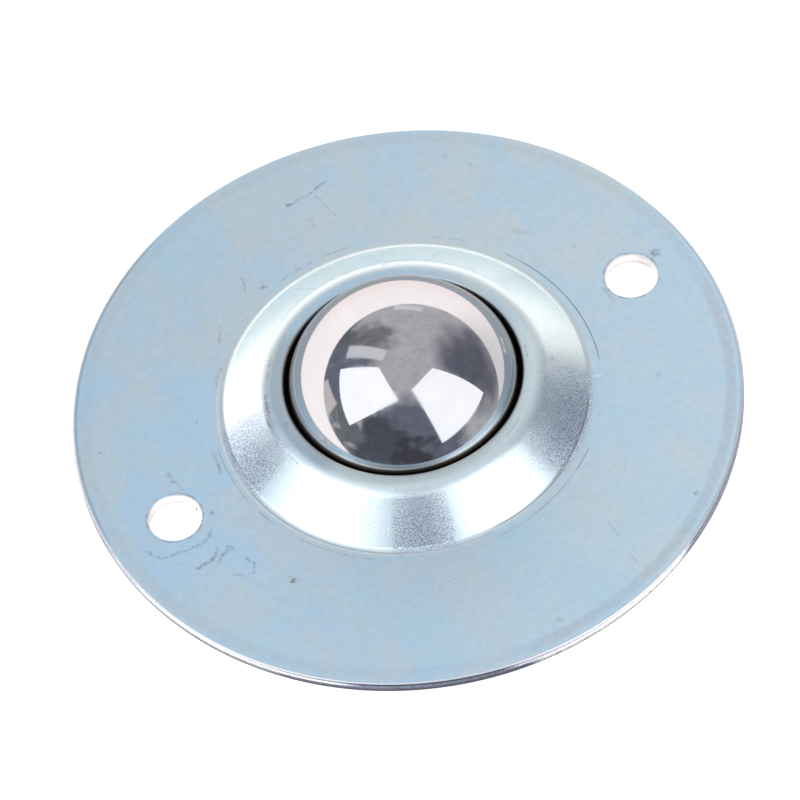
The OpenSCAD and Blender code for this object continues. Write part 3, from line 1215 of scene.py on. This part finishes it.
@dataclass(frozen=True)
class FlangeCover:
    """The drawn top cover: a flat round flange, a sloping dome and a sheared lip round the ball.

    Args:
        holes: The screw holes.
        sheet: Thickness of the sheet.
        lip_ring: Width of the flat ring between the lip's edge and the shoulder.
        crown: How far that ring falls off towards the shoulder.
        crown_round: Radius of the soft bend where it starts to fall.
        step: How far the dome's foot lies outside the cup's wall.
        shoulder_round: Outer radius of the bend between ring and dome.
        foot_round: Radius of the bend between dome and flange.
        rim_round: Rolled outer edge.
        lip_round: Rounding of the lip's upper edge.
        lip_gap: Gap between the lip's edge and the ball.
        lip_land: Height of the smooth part of the sheared lip.
        lip_break: How far the lip flares out below it.
    """

    holes: ScrewHoles
    sheet: float = 1.2 * MM
    lip_ring: float = 1.9 * MM
    crown: float = 0.05 * MM
    crown_round: float = 6.0 * MM
    step: float = 0.7 * MM
    shoulder_round: float = 3.0 * MM
    foot_round: float = 1.3 * MM
    rim_round: float = 0.25 * MM
    lip_round: float = 0.4 * MM
    lip_gap: float = 0.2 * MM
    lip_land: float = 0.2 * MM
    lip_break: float = 0.3 * MM

    @property
    def rim_r(self) -> float:
        """Outer radius of the flange."""
        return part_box("flange_cover")[1].x

    @property
    def under(self) -> float:
        """Height of the flange's lower face."""
        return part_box("flange_cover")[0].z

    @property
    def top(self) -> float:
        """Height of the flange's upper face."""
        return self.under + self.sheet

    @property
    def lip_top(self) -> float:
        """Height of the lip."""
        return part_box("flange_cover")[1].z

    @property
    def land_z(self) -> float:
        """Height where the smooth part of the lip's edge ends."""
        return self.lip_top - self.lip_round - self.lip_land

    @property
    def shoulder_r(self) -> float:
        """Radius where the ring round the lip bends down into the dome."""
        return self.lip_r + self.lip_ring

    @property
    def lip_r(self) -> float:
        """Radius of the lip's edge, which clears the ball where its smooth part ends.

        Returns:
            The radius.
        """
        low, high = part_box("main_ball")
        ball_r = (high.x - low.x) / 2
        rise = self.land_z - (low.z + high.z) / 2
        return math.sqrt((ball_r + self.lip_gap) ** 2 - rise ** 2)

    @property
    def foot_r(self) -> float:
        """Radius of the dome's foot, just outside the cup's wall."""
        return cup_radius() + self.step

    def build(self) -> bpy.types.Object:
        """Makes the cover.

        Returns:
            The finished piece.
        """
        slope = math.atan2(self.lip_top - self.top, self.foot_r - self.shoulder_r)
        shift = self.sheet * math.tan(slope / 2)
        lip_under = self.lip_top - self.sheet
        inner_round = max(self.shoulder_round - self.sheet, self.rim_round / 2)
        cover = Turning("cover_shell", (
            Corner(self.lip_r, self.lip_top, self.lip_round, 6),
            Corner(self.lip_r + self.lip_ring / 2, self.lip_top, self.crown_round, 4),
            Corner(self.shoulder_r, self.lip_top - self.crown, self.shoulder_round, 16),
            Corner(self.foot_r, self.top, self.foot_round, 14),
            Corner(self.rim_r, self.top, self.rim_round, 6),
            Corner(self.rim_r, self.under, SHEARED_ROUND, 2),
            Corner(self.foot_r - shift, self.under, self.foot_round + self.sheet, 10),
            Corner(self.shoulder_r - shift, lip_under, inner_round, 8),
            Corner(self.lip_r + self.lip_break, lip_under),
            Corner(self.lip_r, self.land_z),
        ), 384)
        piece = make_object(cover.name, cover.spun())
        self.holes.punch(piece, self.under, self.top)
        smooth(piece)
        finish = ZincPlate(foot_r=self.foot_r, shoulder_r=self.shoulder_r, lip_r=self.lip_r, rim_r=self.rim_r,
                           top=self.top, under=self.under, hole_r=self.holes.radius,
                           hole_reach=self.holes.reach)
        return dress(piece, finish.build(), "housing", "flange_cover")


@dataclass(frozen=True)
class LowerHousing:
    """The drawn lower housing: a flat-bottomed cup with a flange under the cover's flange.

    Args:
        holes: The screw holes.
        sheet: Thickness of the sheet.
        wall_bend: Inner radius of the bend at the cup's mouth.
        corner_round: Inner radius of the cup's bottom corner.
        rim_round: Rolled outer edge.
    """

    holes: ScrewHoles
    sheet: float = 1.0 * MM
    wall_bend: float = 1.0 * MM
    corner_round: float = 8.0 * MM
    rim_round: float = 0.25 * MM

    def build(self) -> bpy.types.Object:
        """Makes the housing.

        Returns:
            The finished piece.
        """
        low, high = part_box("lower_housing")
        outer_r = cup_radius()
        inner_r = outer_r - self.sheet
        under = high.z - self.sheet
        floor = low.z + self.sheet
        cup = Turning("housing_shell", (
            Corner(0.0, floor),
            Corner(inner_r, floor, self.corner_round, 16),
            Corner(inner_r, high.z, self.wall_bend, 6),
            Corner(high.x, high.z, self.rim_round, 4),
            Corner(high.x, under, SHEARED_ROUND, 2),
            Corner(outer_r, under, self.wall_bend + self.sheet, 8),
            Corner(outer_r, low.z, self.corner_round + self.sheet, 16),
            Corner(0.0, low.z),
        ), 288)
        piece = make_object(cup.name, cup.spun())
        self.holes.punch(piece, under, high.z)
        smooth(piece)
        finish = HousingZinc(hole_r=self.holes.radius, hole_reach=self.holes.reach)
        return dress(piece, finish.build(), "housing", "lower_housing")


@dataclass(frozen=True)
class MainBall:
    """The polished load ball.

    Args:
        turns: Segments round the ball.
        rings: Rings from pole to pole.
    """

    turns: int = 256
    rings: int = 128

    def build(self) -> bpy.types.Object:
        """Makes the ball.

        Returns:
            The finished piece.
        """
        low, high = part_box("main_ball")
        mesh = bmesh.new()
        bmesh.ops.create_uvsphere(mesh, u_segments=self.turns, v_segments=self.rings,
                                  radius=(high.z - low.z) / 2,
                                  matrix=Matrix.Translation((low + high) / 2))
        bmesh.ops.recalc_face_normals(mesh, faces=list(mesh.faces))
        piece = make_object("load_ball", mesh)
        piece.data.shade_smooth()
        return dress(piece, PolishedSteel("polished_ball").build(), "ball", "main_ball")


@dataclass(frozen=True)
class InnerParts:
    """The pieces inside the unit, which keep the frame's own shapes and get their finishes.

    Args:
        balls: The frame's nodes that hold support balls.
        seat: Finish of the hardened seat cup.
        retainer: Finish of the stamped retainer ring.
        wiper: Finish of the wiper ring.
        ball: Finish of the support balls.
    """

    balls: tuple[str, ...] = ("pole_ball", "ball_row_1", "ball_row_2", "ball_row_3", "ball_row_4",
                              "upper_ball_rows")
    seat: OiledSteel = OiledSteel("hardened_steel", (0.47, 0.48, 0.50), (0.36, 0.34, 0.31))
    retainer: OiledSteel = OiledSteel("retainer_steel", (0.60, 0.62, 0.64), (0.50, 0.49, 0.46),
                                      roughness=0.42, oiled=0.26, scale=320.0)
    wiper: OiledFelt = OiledFelt()
    ball: PolishedSteel = PolishedSteel("support_ball_steel", (0.78, 0.79, 0.81), (0.70, 0.69, 0.67),
                                        edge=(0.95, 0.94, 0.93), roughness=0.05, hazed=0.16, cloud=500.0)

    def build(self) -> None:
        """Dresses the seat cup, the retainer ring, the wiper ring and the support balls."""
        self.finish("seat_cup", self.seat.build())
        self.finish("ball_retainer", self.retainer.build())
        self.finish("wiper_ring", self.wiper.build())
        steel = self.ball.build()
        for node in self.balls:
            self.finish(node, steel)

    def finish(self, node: str, material: bpy.types.Material) -> None:
        """Gives one of the frame's nodes a material.

        Args:
            node: The node's name.
            material: Its finish.
        """
        piece = frame["nodes"][node]
        piece.data.materials.clear()
        piece.data.materials.append(material)
        LOG.info("%s: finished as %s", node, material.name)


# ---------------------------------------------------------------------------------------------------
# Studio
# ---------------------------------------------------------------------------------------------------


@dataclass(frozen=True)
class Camera:
    """The camera, placed round the middle of the flange's upper face.

    Args:
        lens: Focal length in millimetres.
        sensor: Sensor width in millimetres.
        azimuth: Degrees round the vertical.
        elevation: Degrees above the horizon.
        roll: Turn about the line of sight, in degrees.
        distance: Distance from the aimed point.
        aim_height: Height of the aimed point.
        aim_right: How far the aim lies to the right of that point in the picture.
        aim_up: How far the aim lies above it.
        clip: Nearest and farthest distance that is drawn.
    """

    lens: float = 199.8
    sensor: float = 36.0
    azimuth: float = -22.5
    elevation: float = 55.06
    roll: float = -9.19
    distance: float = 461.125 * MM
    aim_height: float = 2.2 * MM
    aim_right: float = -0.623 * MM
    aim_up: float = -0.519 * MM
    clip: tuple[float, float] = (0.01, 20.0)

    def build(self) -> bpy.types.Object:
        """Makes the camera and gives it to the scene.

        Returns:
            The camera object.
        """
        turn, rise, roll = (math.radians(v) for v in (self.azimuth, self.elevation, self.roll))
        back = Vector((math.sin(turn) * math.cos(rise), -math.cos(turn) * math.cos(rise), math.sin(rise)))
        level = Vector((math.cos(turn), math.sin(turn), 0.0))
        rising = back.cross(level)
        right = level * math.cos(roll) + rising * math.sin(roll)
        up = rising * math.cos(roll) - level * math.sin(roll)
        data = bpy.data.cameras.new("camera")
        data.lens = self.lens
        data.sensor_width = self.sensor
        data.clip_start, data.clip_end = self.clip
        camera = bpy.data.objects.new("camera", data)
        bpy.context.scene.collection.objects.link(camera)
        place = Vector((0.0, 0.0, self.aim_height)) + right * self.aim_right + up * self.aim_up
        place += back * self.distance
        camera.matrix_world = Matrix.Translation(place) @ Matrix((right, up, back)).transposed().to_4x4()
        bpy.context.scene.camera = camera
        return camera


@dataclass(frozen=True)
class RoomPatch:
    """A soft round patch of another tone on the studio's walls and ceiling.

    Args:
        azimuth: Where its middle lies, in degrees.
        elevation: How high its middle lies, in degrees.
        inner: Half angle of the full tone, in degrees.
        outer: Half angle where it has faded out, in degrees.
        tone: Brightness of the patch.
    """

    azimuth: float
    elevation: float
    inner: float
    outer: float
    tone: Colour


@dataclass(frozen=True)
class Rectangle:
    """A rectangle that stands in the room, in the studio's axes.

    Args:
        centre: Its middle.
        across: Direction of its width, square to upright.
        upright: Direction of its height.
        width: Its width.
        height: Its height.
    """

    centre: Vector
    across: Vector
    upright: Vector
    width: float
    height: float

    @property
    def outward(self) -> Vector:
        """Direction square to its face, away from the object."""
        outward = self.across.cross(self.upright)
        return outward if outward.dot(self.centre) > 0 else -outward

    def mask(self, g: Graph, unit: Socket, soft: float) -> Socket:
        """Where it is seen from the object.

        Args:
            g: The graph to build in.
            unit: The direction of sight, of length 1.
            soft: Width over which its edges fade, on each side.

        Returns:
            1 on it and 0 beside it.
        """
        facing = g.measure("DOT_PRODUCT", unit, self.outward)
        seen = g.scaled(unit, g.math("DIVIDE", self.centre.dot(self.outward), facing))
        rest = g.vector("SUBTRACT", seen, self.centre)
        mask = g.math("GREATER_THAN", facing, 0.0)
        for side, size in ((self.across, self.width), (self.upright, self.height)):
            aside = g.measure("DOT_PRODUCT", rest, side)
            mask = g.product(mask, g.band(aside, 0.0, size / 2 - soft, 2 * soft))
        return mask


@dataclass(frozen=True)
class RoomPanel:
    """A straight-edged part of the room, such as a window or a board, of another tone.

    Args:
        azimuth: Where its middle lies, in degrees.
        elevation: How high its middle lies, in degrees.
        width: Its width, in degrees.
        height: Its height, in degrees.
        tone: Its brightness.
        soft: Width over which its edges fade, as a share of its distance.
    """

    azimuth: float
    elevation: float
    width: float
    height: float
    tone: Colour
    soft: float = 0.01

    def rectangle(self) -> Rectangle:
        """The panel as a rectangle at a distance of 1.

        Returns:
            The rectangle.
        """
        centre = polar(self.azimuth, self.elevation)
        across = polar(self.azimuth + 90, 0)
        return Rectangle(centre, across, centre.cross(across), 2 * math.tan(math.radians(self.width / 2)),
                         2 * math.tan(math.radians(self.height / 2)))


@dataclass(frozen=True)
class SoftBox:
    """A rectangular soft box, placed at a distance of about one metre.

    Args:
        name: The lamp's name.
        centre: Its middle, in the studio's axes.
        across: Direction of its width.
        upright: Direction of its height.
        width: Its width.
        height: Its height.
        radiance: How bright its face is.
        tint: Colour of its light.
    """

    name: str
    centre: Triple
    across: Triple
    upright: Triple
    width: float
    height: float
    radiance: float
    tint: Colour = (0.95, 0.96, 1.0)

    def rectangle(self) -> Rectangle:
        """The box's face.

        Returns:
            The face as a rectangle.
        """
        across = Vector(self.across).normalized()
        upright = Vector(self.upright)
        upright = (upright - across * upright.dot(across)).normalized()
        return Rectangle(Vector(self.centre), across, upright, self.width, self.height)

    def build(self, turn: Matrix) -> bpy.types.Object:
        """Makes the lamp.

        Args:
            turn: Turn from the studio's axes to the frame's.

        Returns:
            The lamp, which shines at the object's side of its face.
        """
        data = bpy.data.lights.new(self.name, "AREA")
        data.shape = "RECTANGLE"
        data.size = self.width
        data.size_y = self.height
        data.energy = self.radiance * math.pi * self.width * self.height
        data.color = self.tint
        lamp = bpy.data.objects.new(self.name, data)
        bpy.context.scene.collection.objects.link(lamp)
        face = self.rectangle()
        across = turn @ face.across
        outward = turn @ face.outward
        place = Matrix.Translation(turn @ face.centre)
        lamp.matrix_world = place @ Matrix((across, outward.cross(across), outward)).transposed().to_4x4()
        lamp.visible_camera = False
        return lamp


@dataclass(frozen=True)
class Studio:
    """A pale floor that runs up into a sweep, a grey room round it and two soft boxes.

    Args:
        azimuth: The camera's azimuth, which the studio's axes follow, in degrees.
        sweep: Tone of the lit floor and sweep.
        sweep_shade: Tone of the sweep's far right end.
        ceiling: Tone of the ceiling.
        sweep_rise: Tangent of the sweep's upper edge where it stands highest.
        sweep_azimuth: Where the sweep stands highest, in degrees.
        shade_azimuth: Where its shaded end lies, in degrees.
        floor_size: Length of the floor's sides.
        floor_gap: How far the floor lies below the cup.
        floor_glow: Light that the floor gives off by itself.
        mirror_height: Height that the room's tones on the floor are laid out for, where the ball mirrors it.
        patches: Darker parts of the room with soft outlines.
        panels: Parts of the room with straight edges.
        boxes: The soft boxes.
    """

    azimuth: float
    sweep: Colour = (1.52, 1.44, 1.44)
    sweep_shade: Colour = (1.0, 0.98, 1.0)
    ceiling: Colour = (0.62, 0.62, 0.66)
    sweep_rise: float = 0.545
    sweep_azimuth: float = -15.0
    shade_azimuth: float = 85.0
    floor_size: float = 6.0
    floor_gap: float = 0.02 * MM
    floor_glow: Colour = (0.8, 0.8, 0.8)
    mirror_height: float = 10.0 * MM
    patches: tuple[RoomPatch, ...] = (
        RoomPatch(-50, 48, 14, 32, (0.26, 0.26, 0.28)),
        RoomPatch(-52, 33, 10, 20, (0.18, 0.19, 0.22)),
        RoomPatch(-82, 34, 20, 30, (0.20, 0.22, 0.29)),
        RoomPatch(88, 24, 12, 44, (0.165, 0.17, 0.22)),
        RoomPatch(180, 10, 37, 52, (0.19, 0.20, 0.27)),
        RoomPatch(-150, 5, 22, 34, (0.11, 0.12, 0.15)),
        RoomPatch(-118, 6, 12, 24, (0.22, 0.23, 0.26)),
        RoomPatch(180, -5, 12, 24, (0.08, 0.08, 0.10)),
    )
    panels: tuple[RoomPanel, ...] = (
        RoomPanel(-58, 57, 11, 36, (0.86, 0.87, 0.92)),
        RoomPanel(12, 31, 18, 6, (0.92, 0.92, 0.94)),
        RoomPanel(-88, 12, 22, 16, (0.80, 0.76, 0.75), 0.02),
    )
    boxes: tuple[SoftBox, ...] = (
        SoftBox("left_softbox", (-0.565, -0.205, 0.799), (-0.41, 0.709, 0.575), (0.511, -0.343, 0.788),
                0.886, 0.918, 1.67),
        SoftBox("right_softbox", (0.516, -0.463, 0.721), (0.763, 0.637, 0.111), (-0.111, -0.039, 0.993),
                0.764, 1.29, 1.60),
    )

    def build(self) -> None:
        """Makes the soft boxes, the room and the floor."""
        turn = Matrix.Rotation(math.radians(self.azimuth), 3, "Z")
        for box in self.boxes:
            box.build(turn)
        self.room()
        self.floor()
        LOG.info("studio: %d soft boxes", len(self.boxes))

    def tones(self, g: Graph, direction: Socket) -> Socket:
        """The room's tone in a direction from the object.

        Args:
            g: The graph to build in.
            direction: The direction, in the frame's axes, of any length.

        Returns:
            The tone as a colour.
        """
        turned = g.node("VectorRotate", direction, rotation_type="Z_AXIS")
        g.feed(turned.inputs["Angle"], -math.radians(self.azimuth))
        unit = g.vector("NORMALIZE", turned.outputs[0])
        stirred = g.stirred(unit, 4.0, 0.28)
        tone: object = self.ceiling
        for patch in self.patches:
            facing = g.measure("DOT_PRODUCT", stirred, polar(patch.azimuth, patch.elevation))
            share = g.ramp(facing, math.cos(math.radians(patch.outer)), math.cos(math.radians(patch.inner)))
            tone = g.mix(share, tone, patch.tone)
        tone = g.shade(tone, g.ramp(g.noise(unit, 8.0, 4.0, 0.7), 0.3, 0.7, 0.88, 1.1))
        for panel in self.panels:
            tone = g.mix(panel.rectangle().mask(g, unit, panel.soft), tone, panel.tone)
        for box in self.boxes:
            tone = g.mix(box.rectangle().mask(g, unit, 0.02), tone, (0.0, 0.0, 0.0))
        height = g.node("SeparateXYZ", unit).outputs[2]
        forward = g.measure("DOT_PRODUCT", unit, polar(self.sweep_azimuth, 0))
        above = g.math("SUBTRACT", height, g.product(forward, self.sweep_rise))
        aside = g.ramp(g.measure("DOT_PRODUCT", unit, polar(self.shade_azimuth, 0)), 0.6, 1.0)
        sweep = g.mix(aside, self.sweep, self.sweep_shade)
        return g.mix(g.ramp(above, -0.012, 0.012), sweep, tone)

    def room(self) -> None:
        """Fills the world: white to the camera, and the room's tones to everything else."""
        world = bpy.data.worlds.new("room")
        world.use_nodes = True
        g = Graph(world.node_tree)
        seen = g.node("Background", (1.0, 1.0, 1.0))
        felt = g.node("Background", self.tones(g, g.node("TexCoord").outputs["Generated"]))
        to_camera = g.node("LightPath").outputs["Is Camera Ray"]
        mix = g.node("MixShader", to_camera, felt.outputs[0], seen.outputs[0])
        g.node("OutputWorld", mix.outputs[0])
        bpy.context.scene.world = world

    def floor(self) -> None:
        """Makes the floor just under the cup: pale, with the object's shadow, and open from below."""
        mesh = bmesh.new()
        bmesh.ops.create_grid(mesh, x_segments=1, y_segments=1, size=self.floor_size / 2,
                              matrix=Matrix.Translation((0.0, 0.0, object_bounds()[0].z - self.floor_gap)))
        piece = make_object("floor", mesh)
        material = bpy.data.materials.new("pale_floor")
        material.use_nodes = True
        g = Graph(material.node_tree)
        place = g.node("TexCoord").outputs["Object"]
        path = g.node("LightPath")
        grain = g.ramp(g.noise(place, 300.0, 2.0), 0.3, 0.7, 0.49, 0.51)
        diffuse = g.node("BsdfDiffuse", g.combine(grain, grain, grain))
        lit = g.node("AddShader", diffuse.outputs[0], g.node("Emission", self.floor_glow).outputs[0])
        seen_from = g.vector("SUBTRACT", place, (0.0, 0.0, self.mirror_height))
        mirrored = g.node("Emission", self.tones(g, seen_from))
        shown = g.node("MixShader", path.outputs["Is Glossy Ray"], lit.outputs[0], mirrored.outputs[0])
        below = g.product(g.node("NewGeometry").outputs["Backfacing"], path.outputs["Is Camera Ray"])
        mix = g.node("MixShader", below, shown.outputs[0], g.node("BsdfTransparent").outputs[0])
        g.node("OutputMaterial", mix.outputs[0])
        piece.data.materials.append(material)
        piece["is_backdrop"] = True


def main() -> None:
    """Builds the camera, the pieces and the studio."""
    logging.basicConfig(level=logging.INFO, format="%(name)s: %(message)s")
    bpy.context.scene.view_settings.view_transform = "Standard"
    camera = Camera()
    camera.build()
    holes = ScrewHoles.from_record(frame["record"])
    FlangeCover(holes).build()
    LowerHousing(holes).build()
    MainBall().build()
    InnerParts().build()
    Studio(camera.azimuth).build()


if __name__ == "__main__":
    main()
